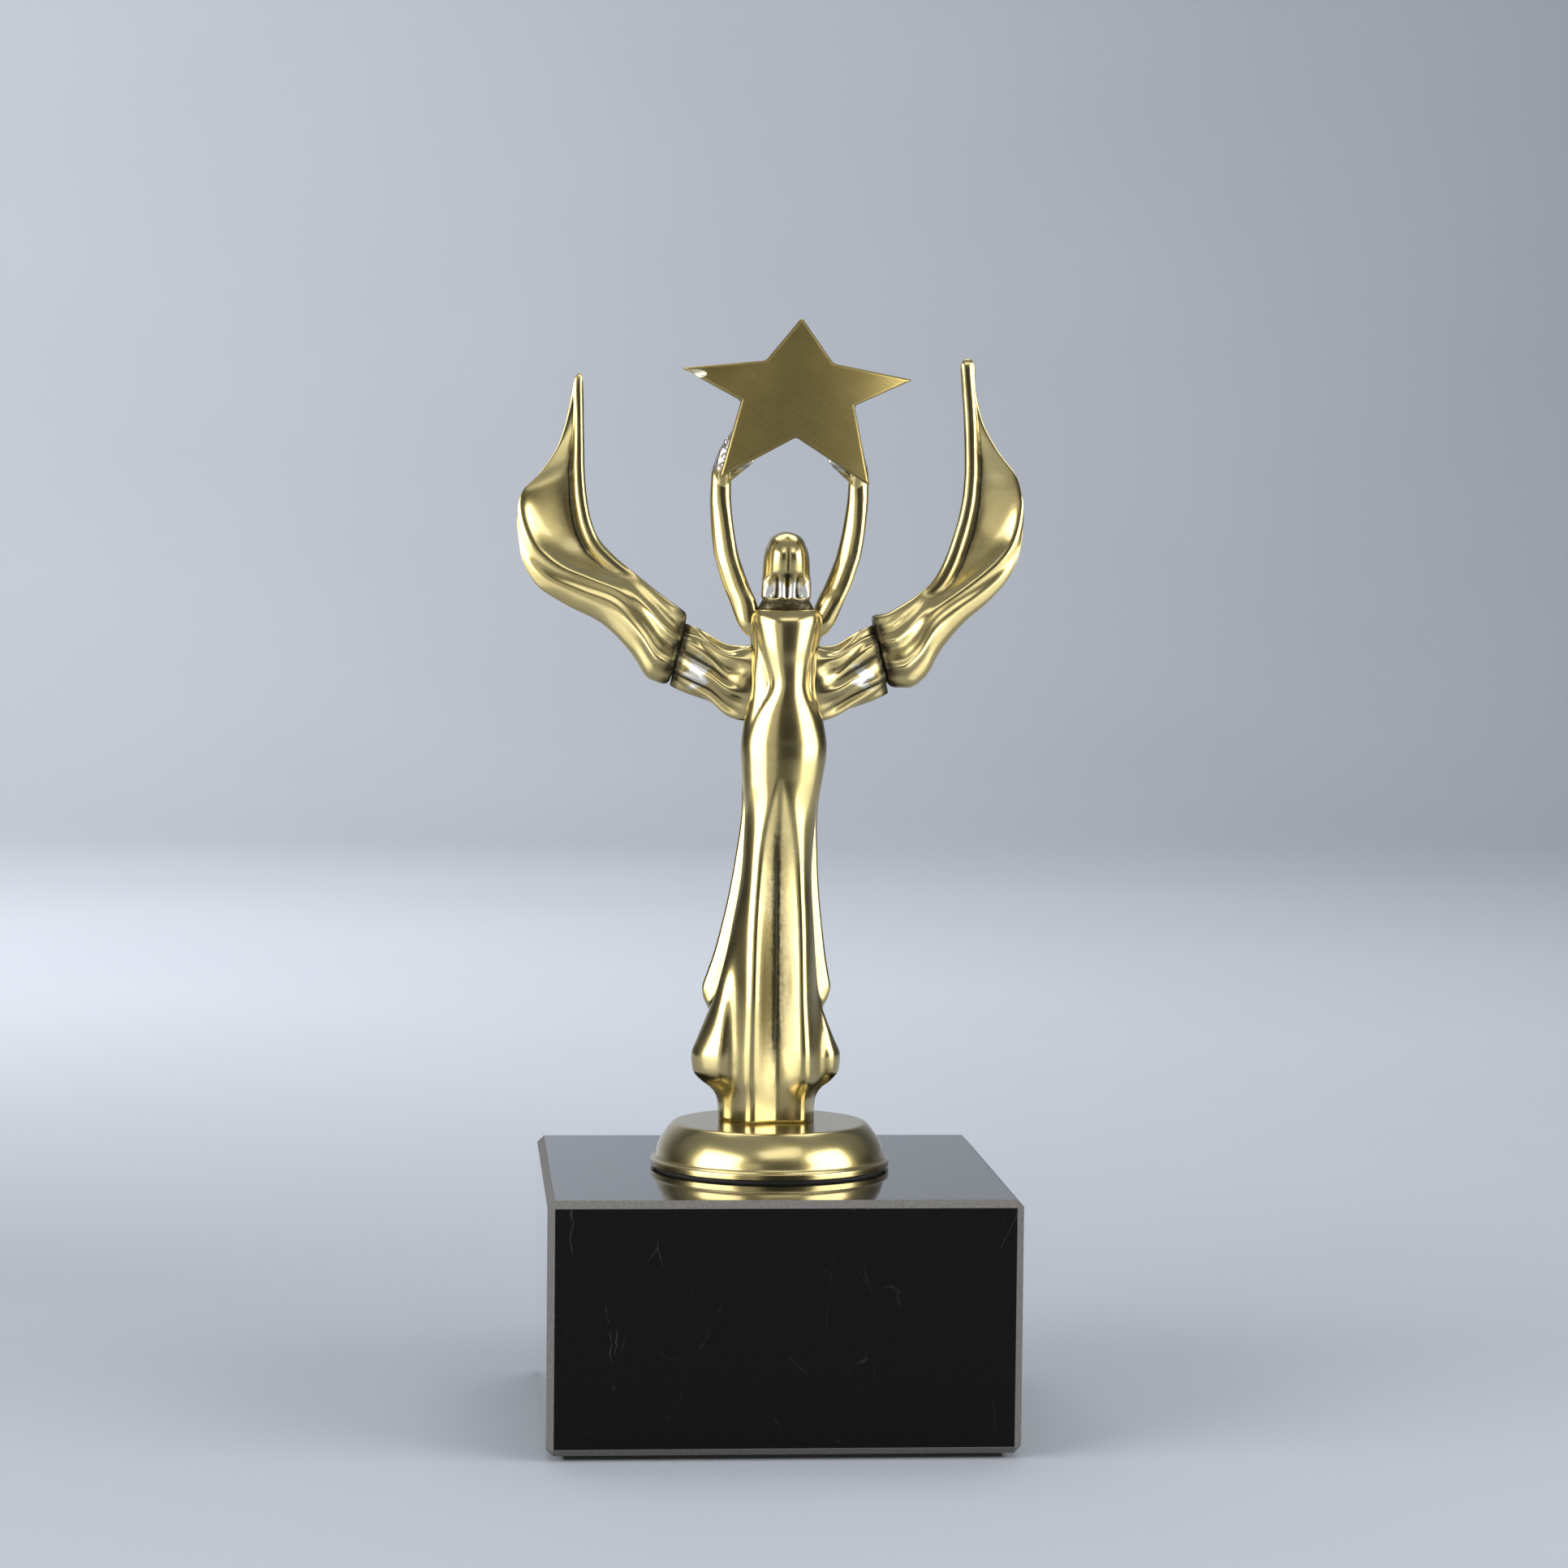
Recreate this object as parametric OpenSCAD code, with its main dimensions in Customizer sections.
// Star trophy: a cast brass figure with a billowing scarf holds up a star.
// It stands on a round plinth, and one stud clamps both to a square marble block.
// Origin: centre of the underside. +Z up. The figure faces +Y and its back faces -Y.

/* [Marble base] */
// Side of the square marble block
base_side = 80; // [76:1:100]
// Height of the marble block alone
base_h = 43; // [36:1:60]
// Ground chamfer on every edge of the block
base_chamfer = 1.2; // [0.6:0.1:2]
// Thickness of the felt sheet under the block
felt_t = 1; // [0.6:0.1:1.5]
// Distance from the block's edge to the felt's edge
felt_inset = 3; // [2:0.5:8]
// Radius of the recess for the nut under the block
recess_r = 12; // [11:0.5:15]
// Depth of the recess for the nut under the block
recess_h = 14; // [13:0.5:18]

/* [Plinth] */
// Radius of the plinth's lip
plinth_r = 21; // [20:0.5:26]
// Radius at the plinth's flat top, before its edge is rounded
plinth_top_r = 17.4; // [17:0.1:19]
// Height of the plinth
plinth_h = 7.6; // [6:0.2:12]
// Height of the upright lip at the plinth's foot
plinth_lip_h = 1.2; // [1:0.1:2.5]
// Rounding of the plinth's top edge
plinth_round = 0.8; // [0.6:0.1:2]
// Thickness of the rubber ring under the plinth
gasket_t = 0.4; // [0.3:0.1:0.8]

/* [Fixing] */
// Radius of the M5 stud
stud_r = 2.5; // [2:0.5:3]
// Radius of the plain holes that the stud passes through
clear_r = 2.8; // [2.7:0.1:4]
// Depth of the stud in the figure
stud_in_figure = 14; // [10:1:20]
// Width across the flats of the hex nut
nut_af = 8; // [8:1:13]
// Height of the hex nut
nut_h = 4; // [4:0.5:6]
// Outer radius of the flat washer
washer_r = 7.5; // [6:0.5:10]
// Thickness of the flat washer
washer_t = 1.4; // [1:0.1:2]
// Thickness of the spring washer
spring_t = 1.2; // [1:0.1:2]

/* [Figure] */
// Height of the gown from the plinth to the collar
gown_h = 90; // [88:0.5:92]
// Number of points round the gown
gown_sides = 40; // [24:4:48]
// Sideways place of the neck
neck_x = 2; // [1:0.1:3]
// Place of the neck in front of the plinth's axis
neck_y = 1; // [0:0.1:2]

/* [Scarf] */
// Radius of the pin that joins each scarf end to its root
pin_r = 1.5; // [1:0.1:2]
// Length of the pin in each of the two castings
pin_depth = 4.5; // [3:0.5:5]

/* [Star] */
// Thickness of the star plate
star_t = 2.6; // [1.5:0.1:3]
// Place of the star's far face, in front of the body's axis
star_back_y = 1; // [0:0.1:1.5]
// Lean of the star to the right, in degrees
star_lean = 2; // [0:0.5:6]
// Thickness of the solder between a palm and the star
solder_t = 0.8; // [0.4:0.1:1.2]

/* [Hidden] */
$fn = 64;

// Heights of the stacked pieces
base_top = felt_t + base_h;
plinth_z = base_top + gasket_t;
foot_z = plinth_z + plinth_h;
recess_top = felt_t + recess_h;
nut_z = recess_top - washer_t - spring_t - nut_h;

// Small edges and gaps that are the same in every size
lip_ease = 0.3;
gasket_inset = 0.6;
stud_ease = 0.6;
stud_below_nut = 1.5;
spring_gap = 0.8;
spring_past_nut = 0.4;

brass = "darkkhaki";
steel = "silver";

// ---- Shared shapes -------------------------------------------------------

// 1 at the middle of a bump, falling to 0 over about twice its width
function bump(v, middle, width) = exp(-pow((v - middle) / width, 2));

// 0 below the step, 1 above it, smooth between
function step(v, from, to) =
    let (t = min(1, max(0, (v - from) / (to - from))))
    t * t * (3 - 2 * t);

function mix(a, b, t) = a + (b - a) * t;

// Angles round a ring, from -180 to 180, with 0 at the back (-Y)
function turns(n) = [for (i = [0 : n - 1]) let (a = i * 360 / n) a > 180 ? a - 360 : a];

function centre_of(ring) =
    [for (k = [0 : 2]) [for (p = ring) 1] * [for (p = ring) p[k]] / len(ring)];

// A closed skin through rings that all have the same number of points
module loft(rings, flip = false) {
    n = len(rings[0]);
    last = len(rings) - 1;
    points = concat([for (ring = rings) each ring],
                    [centre_of(rings[0]), centre_of(rings[last])]);
    foot = (last + 1) * n;
    wall = [for (k = [0 : last - 1], i = [0 : n - 1])
            let (a = k * n + i, b = k * n + (i + 1) % n)
            each [[a, a + n, b + n], [a, b + n, b]]];
    caps = [for (i = [0 : n - 1])
            let (j = (i + 1) % n)
            each [[foot, i, j], [foot + 1, last * n + j, last * n + i]]];
    faces = concat(wall, caps);
    polyhedron(points, flip ? [for (f = faces) [f[2], f[1], f[0]]] : faces);
}

// ---- Base and fixing -----------------------------------------------------

// Square block with the same chamfer on all its edges
module chamfered_block(side, h, c) {
    hull() {
        translate([-side / 2 + c, -side / 2 + c, 0]) cube([side - 2 * c, side - 2 * c, h]);
        translate([-side / 2, -side / 2 + c, c]) cube([side, side - 2 * c, h - 2 * c]);
        translate([-side / 2 + c, -side / 2, c]) cube([side - 2 * c, side, h - 2 * c]);
    }
}

module base_felt() {
    side = base_side - 2 * felt_inset;
    color("dimgray") translate([-side / 2, -side / 2, 0]) cube([side, side, felt_t]);
}

module marble_base() {
    color("black") difference() {
        translate([0, 0, felt_t]) chamfered_block(base_side, base_h, base_chamfer);
        translate([0, 0, felt_t - 1]) cylinder(r = recess_r, h = recess_h + 1);
        cylinder(r = clear_r, h = base_top + 1);
    }
}

module plinth_gasket() {
    color("dimgray") translate([0, 0, base_top]) difference() {
        cylinder(r = plinth_r - gasket_inset, h = gasket_t);
        translate([0, 0, -1]) cylinder(r = clear_r, h = gasket_t + 2);
    }
}

// The plinth is one turned outline: an upright lip, a slope, and a rounded top edge that
// starts at shoulder_from degrees above level
shoulder_from = 18;
shoulder_steps = 5;

module plinth_disc() {
    shoulder = [for (i = [0 : shoulder_steps])
                let (a = mix(shoulder_from, 90, i / shoulder_steps))
                [plinth_top_r - plinth_round + plinth_round * cos(a),
                 plinth_h - plinth_round + plinth_round * sin(a)]];
    outline = concat([[clear_r, 0], [plinth_r - lip_ease, 0], [plinth_r, lip_ease],
                      [plinth_r, plinth_lip_h]],
                     shoulder,
                     [[clear_r, plinth_h]]);
    color(brass) translate([0, 0, plinth_z]) rotate_extrude() polygon(outline);
}

module fixing_stud() {
    foot = nut_z - stud_below_nut;
    length = foot_z + stud_in_figure - foot;
    color(steel) translate([0, 0, foot]) rotate_extrude()
        polygon([[0, 0], [stud_r - stud_ease, 0], [stud_r, stud_ease],
                 [stud_r, length - stud_ease], [stud_r - stud_ease, length], [0, length]]);
}

module washer(r, t) {
    difference() {
        cylinder(r = r, h = t);
        translate([0, 0, -1]) cylinder(r = clear_r, h = t + 2);
    }
}

module flat_washer() {
    color(steel) translate([0, 0, recess_top - washer_t]) washer(washer_r, washer_t);
}

// The spring washer is split on one side
module spring_washer() {
    color("gray") translate([0, 0, nut_z + nut_h]) difference() {
        washer(nut_af / 2 + spring_past_nut, spring_t);
        translate([0, -spring_gap / 2, -1]) cube([nut_af, spring_gap, spring_t + 2]);
    }
}

module hex_nut() {
    color(steel) translate([0, 0, nut_z]) difference() {
        cylinder(r = nut_af / 2 / cos(30), h = nut_h, $fn = 6);
        translate([0, 0, -1]) cylinder(r = stud_r, h = nut_h + 2);
    }
}

// ---- Gown ----------------------------------------------------------------
// Every list below is [height above the plinth, value], and heights between are filled in.
// The heights in them are for a gown of drawn_h, and gown_point scales them to gown_h.

drawn_h = 90;
// The folds of the skirt end at skirt_top, and the panel of the back begins at panel_foot
skirt_top = 60;
panel_foot = 66;

// Sideways place of the gown's middle: the body sways from side to side as it rises
gown_sway = [[0, -0.5], [18, -0.8], [32, 0.1], [46, 0.9], [57, 1.5], [66, 1.9], [77, 1.7],
             [88, 2.2]];
// How far the gown's middle stands in front of the plinth's axis
gown_forward = [[0, 2.5], [30, 2], [60, 1.5], [90, 1]];
// Half width of the back layer, whose hem flares out to the sides
back_width = [[0, 8.5], [3.5, 8.7], [5.5, 9.6], [7, 11.6], [8.7, 13], [11.5, 13.3],
              [14.5, 12.2], [18, 10.8], [23, 9.4], [34, 7.6], [46, 6.4], [54, 6.5], [60, 7.2],
              [66, 7.6], [70, 7.1], [77, 5.7], [82, 5.7], [86, 6.1], [88, 6.4], [89.2, 6.2],
              [90, 5.4]];
// Half width of the front layer, whose shorter hem flares higher up
front_width = [[0, 8.4], [8, 8.8], [17, 9.6], [19.5, 10.2], [21.5, 11.2], [23.3, 11.6],
               [25.5, 11.1], [29, 10.2], [34, 9.2], [40, 8.2], [46, 7.5], [54, 6.9], [60, 7.2],
               [66, 7.5], [70, 7], [77, 5.7], [82, 5.8], [88, 6.8], [90, 5.4]];
back_depth = [[0, 7.3], [8, 7.6], [20, 7.6], [35, 6.5], [50, 5.5], [64, 5.6], [72, 4.3],
              [77, 3.2], [84, 3.8], [88, 3.8], [90, 3]];
front_depth = [[0, 7.4], [10, 8], [20, 8.4], [24, 9], [28, 8.4], [35, 7], [50, 5.6], [62, 4.8],
               [70, 4.4], [77, 4], [80, 4.3], [83, 5.1], [86, 4.6], [90, 3.2]];
// The deep fold down the back of the skirt: its sideways place, its depth, and the ridges
// that stand on either side of it
fold_x = 1;
fold_depth = [[0, 1], [8, 1.4], [14, 1.9], [25, 2.7], [40, 2.2], [50, 1.2], [60, 0]];
ridge_x = [[0, 4.5], [20, 4.4], [34, 4.3], [45, 3.9], [52, 2.9], [59, 1]];
ridge_height = [[0, 1], [25, 1.1], [45, 0.6], [60, 0]];
// Hollow between each ridge and the flaring edge
scoop_depth = [[0, 1.1], [16, 1.1], [36, 0]];
// The raised panel of the back: its middle, half width and height
panel_x = [[66, 1.9], [74, 2.3], [77, 2.6], [81, 2.3], [90, 2]];
panel_width = [[66, 7.5], [72, 5.2], [77, 3.4], [80, 3.8], [85, 5], [90, 5.6]];
panel_height = [[66, 0], [72, 0.9], [77, 1.9], [81, 1.5], [88, 1], [90, 0.5]];
// Soft folds across the front
front_fold = [[0, 0.7], [20, 0.7], [40, 0.4], [60, 0]];

gown_heights = [0, 3, 6, 8.5, 11.5, 14.5, 17, 20, 23, 26, 29, 33, 38, 43, 48, 53, 58, 62, 66,
                70, 74, 77, 80, 83, 86, 88, 89.2, 90];

// How far the back of the skirt stands out at x
function skirt_relief(x, z) =
    let (m = abs(x - fold_x),
         r = lookup(z, ridge_x),
         valley = lookup(z, fold_depth) * (1 + cos(180 * min(1, m / r))) / 2)
    lookup(z, ridge_height) * bump(m, r + 0.3, 1.3) - valley
        - lookup(z, scoop_depth) * bump(m, r + 3.2, 1.5);

// How far the panel of the back stands out at x
function panel_relief(x, z) =
    let (share = min(1, abs(x - lookup(z, panel_x)) / lookup(z, panel_width)))
    lookup(z, panel_height) * pow(1 - pow(share, 2.4), 0.7);

function gown_point(z, a) =
    let (m = abs(a),
         side = step(m, 84, 98),
         w = mix(lookup(z, back_width), lookup(z, front_width), side),
         d = m < 90 ? lookup(z, back_depth) : lookup(z, front_depth),
         folds = lookup(z, front_fold) * step(m, 100, 120) * cos(8 * m),
         x = lookup(z, gown_sway) + (w + folds) * sin(a),
         relief = (1 - step(m, 62, 84)) * (z < skirt_top ? skirt_relief(x, z) :
                                           z > panel_foot ? panel_relief(x, z) : 0))
    [x, lookup(z, gown_forward) - (d + folds) * cos(a) - relief, z * gown_h / drawn_h];

function gown_ring(z) = [for (a = turns(gown_sides)) gown_point(z, a)];

// The gown from one of its drawn heights up to the collar, with z = 0 at the top of the plinth
module gown_above(from) {
    loft([for (z = gown_heights) if (z >= from) gown_ring(z)]);
}

module gown() {
    color(brass) translate([0, 0, foot_z]) difference() {
        gown_above(0);
        translate([0, 0, -1]) cylinder(r = stud_r, h = stud_in_figure + 1);
    }
}

// ---- Head ----------------------------------------------------------------
// Heights are above the collar.

hair_width = [[0, 4.8], [0.9, 4.8], [1.6, 4.5], [2, 4.3], [2.9, 4.4], [6.4, 4.4], [8.2, 4.35],
              [10, 4.1], [11.8, 3.35], [12.9, 2.3], [13.45, 1.4], [13.8, 0.4]];
face_width = [[0, 4.4], [0.9, 4.1], [1.6, 2.8], [2, 2.3], [2.7, 2.1], [4.2, 3.1], [6.5, 3.7],
              [9.5, 3.9], [11, 3.6], [12.4, 2.7], [13.3, 1.6], [13.8, 0.4]];
hair_depth = [[0, 3.1], [0.9, 3.1], [1.6, 3], [2, 3.1], [4.5, 3.5], [7, 4.6], [9.5, 4.9],
              [11, 4.4], [12.4, 3.1], [13.3, 1.7], [13.8, 0.4]];
face_depth = [[0, 2.7], [0.9, 2.6], [1.6, 2.4], [2, 2.3], [2.7, 3.8], [4, 4.1], [7, 4.3],
              [9.5, 4.5], [11, 4.1], [12.4, 2.9], [13.3, 1.7], [13.8, 0.4]];
lock_depth = [[0, 0], [1.6, 0], [1.8, 0.5], [5, 0.4], [8, 0]];

head_heights = [0, 0.9, 1.6, 2, 2.4, 3, 3.8, 4.8, 5.6, 6.4, 7.4, 8.6, 9.8, 11, 12, 12.8, 13.4, 13.8];

function head_ring(z) = [for (a = turns(32))
    let (m = abs(a),
         side = step(m, 96, 120),
         w = mix(lookup(z, hair_width), lookup(z, face_width), side),
         d = m < 90 ? lookup(z, hair_depth) : lookup(z, face_depth),
         locks = lookup(z, lock_depth) * cos(4 * a) * (1 - side),
         nose = 0.9 * bump(z, 5.4, 0.9) * bump(m, 180, 12),
         out = nose - locks)
    [neck_x + (w + out) * sin(a), neck_y - (d + out) * cos(a), gown_h + z]];

module head() {
    color(brass) translate([0, 0, foot_z])
        loft([for (z = head_heights) head_ring(z)]);
}

// ---- Arms ----------------------------------------------------------------
// Each row is [height, half spread of the two arms, y, half width, half depth].

arm_rows = [[85, 5.1, 2.2, 1.3, 1.4], [86.4, 5.8, 2.3, 1.9, 1.9], [88, 6.5, 2.4, 2.3, 2.2],
            [91.6, 7.8, 2.6, 2.4, 2.2], [94, 8.9, 2.9, 2.4, 2.1], [97, 10, 3.2, 2.3, 2.1],
            [100, 10.9, 3.5, 2.2, 2], [106, 11.8, 3.8, 2, 1.9], [110, 12.1, 3.8, 1.9, 1.8],
            [112, 12.1, 3.7, 1.9, 1.7], [114, 11.9, 3.5, 2.2, 1.8], [117, 11.3, 3.3, 2.5, 1.9],
            [119.5, 10.7, 3.1, 2.4, 1.6], [122, 10.2, 2.9, 2, 1.3], [123.4, 10, 2.8, 1.2, 1]];

// The line half way between the two arms leans a little to the right
arm_middle_x = 2.2;
arm_middle_z = 91;
arm_middle_slope = 0.023;

function arm_middle(z) = arm_middle_x + arm_middle_slope * (z - arm_middle_z);

// An arm is cut to fit the gown, which it meets above this height
arm_meets_gown = 70;

module arm(side) {
    rings = [for (r = arm_rows) [for (a = turns(18))
        [arm_middle(r[0]) + side * r[1] + r[3] * sin(a), r[2] - r[4] * cos(a), r[0]]]];
    palm_y = star_back_y + solder_t;
    color(brass) translate([0, 0, foot_z]) difference() {
        loft(rings);
        gown_above(arm_meets_gown);
        // The palm is flat where it lies behind the star
        translate([-base_side / 2, palm_y - plinth_r, gown_h])
            cube([base_side, plinth_r, base_side]);
    }
}

module arm_left() {
    arm(-1);
}

module arm_right() {
    arm(1);
}

// ---- Scarf roots ---------------------------------------------------------

// Joint of each scarf end with its root: x at joint_z, and how x changes with height
joint_z = 81.4;
joint_y = 6.6;
joint_left = [-16.7, 0.25];
joint_right = [19.3, -0.24];

// Each row is [share of the way to the joint, middle height, half height, y, half depth].

root_rows = [[0.24, 76.8, 7, 2.4, 2], [0.32, 76.9, 6.8, 2.9, 2.5], [0.4, 77, 6.5, 3.4, 2.8],
             [0.53, 77.4, 5.9, 4.2, 3], [0.69, 78.9, 5.7, 5, 3.1], [0.83, 80.2, 5.7, 5.7, 3.1],
             [0.92, 80.9, 5.6, 6.2, 3.1], [1, joint_z, 5.4, joint_y, 3]];
root_middle_x = 1.8;
root_pleats = 7;
root_pleat = 0.35;
// A root is cut to fit the gown, which it meets above this height
root_meets_gown = 58;

module scarf_root(joint, flip) {
    rings = [for (r = root_rows) [for (a = turns(36))
        let (swell = root_pleat * step(r[0], 0.3, 0.6) * cos(root_pleats * a),
             z = r[1] + (r[2] + swell) * sin(a),
             x = mix(root_middle_x, joint[0], r[0]))
        [x + joint[1] * (z - joint_z) * step(r[0], 0.5, 1), r[3] - (r[4] + swell) * cos(a), z]]];
    difference() {
        loft(rings, flip);
        gown_above(root_meets_gown);
        pin(joint);
    }
}

// Pin across the joint, square to its slanted plane
module pin(joint) {
    translate([joint[0], joint_y, joint_z])
        rotate([0, 90 + atan(joint[1]), 0])
            cylinder(r = pin_r, h = 2 * pin_depth, center = true);
}

module scarf_root_left() {
    color(brass) translate([0, 0, foot_z]) scarf_root(joint_left, false);
}

module scarf_root_right() {
    color(brass) translate([0, 0, foot_z]) scarf_root(joint_right, true);
}

module scarf_pins() {
    color(steel) translate([0, 0, foot_z]) {
        pin(joint_left);
        pin(joint_right);
    }
}

// ---- Scarf ends ----------------------------------------------------------
// Each row is [inner edge x, z, outer edge x, z, y, half thickness, bow away from the back].

mouth_top = 89;
mouth_foot = 76.4;

// The first row lies in the joint's plane
function mouth_row(joint) =
    [joint[0] + joint[1] * (mouth_top - joint_z), mouth_top,
     joint[0] + joint[1] * (mouth_foot - joint_z), mouth_foot, joint_y, 3.7, 0];

left_rows = [mouth_row(joint_left), [-17, 90.6, -21.6, 77.4, 7.2, 3.9, 0],
             [-20, 92.8, -25, 82.2, 7.8, 3.2, 0.3], [-24, 96, -30, 87.2, 8.4, 2.2, 0.6],
             [-28, 99.3, -36.3, 90.4, 9, 1.4, 1], [-30.8, 102.6, -41.6, 94, 9.4, 1, 1.6],
             [-32.2, 106.6, -44.2, 99, 9.7, 0.8, 2], [-32.8, 110.5, -45, 105.5, 9.8, 0.7, 2],
             [-33.1, 114.5, -44.3, 109.8, 9.8, 0.7, 1.8], [-33.2, 118, -40.8, 113.8, 9.7, 0.7, 1.2],
             [-33.3, 122, -37.6, 119, 9.6, 0.8, 0.5], [-33.4, 126.5, -36, 125, 9.5, 0.9, 0],
             [-33.6, 131.4, -35, 131.2, 9.4, 0.6, 0]];
right_rows = [mouth_row(joint_right), [20, 89.4, 24.3, 76.2, 7.2, 3.9, 0],
              [22.8, 90.8, 27.5, 78.2, 7.8, 3.4, 0.3], [26, 92.8, 30.2, 82.8, 8.4, 2.6, 0.5],
              [28.6, 95, 34.4, 87.8, 8.8, 1.8, 0.8], [30.6, 98.4, 39, 91.8, 9.2, 1.2, 1.3],
              [32.2, 102.6, 42.6, 96.2, 9.5, 0.9, 1.8], [33.4, 106.8, 44.6, 101.6, 9.8, 0.7, 2],
              [34.1, 111, 45, 107.5, 9.8, 0.7, 2], [34.3, 115, 44, 113, 9.7, 0.7, 1.5],
              [34.2, 119.5, 40, 118.6, 9.6, 0.8, 0.7], [34, 124, 37.3, 123.8, 9.5, 0.9, 0.2],
              [33.6, 129, 36.1, 129.2, 9.4, 1, 0], [33.2, 134.6, 35.8, 134.7, 9.4, 0.9, 0]];

// Radius of the rolled inner edge
roll_r = 1.5;

// One slice across a scarf end: a thin blade with a rolled edge on its inner side
function scarf_ring(row) =
    let (width = norm([row[2] - row[0], row[3] - row[1]]))
    [for (i = [0 : 23])
        let (a = i * 15,
             s = (1 - cos(a)) / 2,
             rolled = max(row[5], roll_r * bump(s * width, roll_r, 1.3 * roll_r)),
             half = rolled * sign(sin(a)) * pow(abs(sin(a)), 0.6))
        [mix(row[0], row[2], s), row[4] + row[6] * sin(180 * s) - half, mix(row[1], row[3], s)]];

module scarf_end(rows, joint, flip) {
    difference() {
        loft([for (row = rows) scarf_ring(row)], flip);
        pin(joint);
    }
}

module scarf_left() {
    color(brass) translate([0, 0, foot_z]) scarf_end(left_rows, joint_left, true);
}

module scarf_right() {
    color(brass) translate([0, 0, foot_z]) scarf_end(right_rows, joint_right, false);
}

// ---- Star ----------------------------------------------------------------

star_middle = [3.6, 125];
// The outline from the top point round, clockwise; its points are slightly uneven
star_outline = [[0, 15.9], [5.9, 8.2], [19.9, 6], [9.9, 1], [13.2, -12.8], [0, -4.9],
                [-13.2, -12.7], [-9.9, 1], [-20.6, 6.2], [-5.9, 8.2]];

module star_plate() {
    color(brass) translate([star_middle[0], star_back_y, foot_z + star_middle[1]])
        rotate([90, star_lean, 0]) linear_extrude(star_t) polygon(star_outline);
}

solder_z = 117;
solder_spread = 11;
solder_r = 1.6;

// A disc of solder fills the gap between a palm and the star
module solder(side) {
    color(steel)
        translate([arm_middle(solder_z) + side * solder_spread, star_back_y + solder_t,
                   foot_z + solder_z])
            rotate([90, 0, 0]) cylinder(r = solder_r, h = solder_t);
}

module solder_left() {
    solder(-1);
}

module solder_right() {
    solder(1);
}

base_felt();
marble_base();
plinth_gasket();
plinth_disc();
fixing_stud();
flat_washer();
spring_washer();
hex_nut();
gown();
head();
arm_left();
arm_right();
scarf_root_left();
scarf_root_right();
scarf_left();
scarf_right();
scarf_pins();
star_plate();
solder_left();
solder_right();
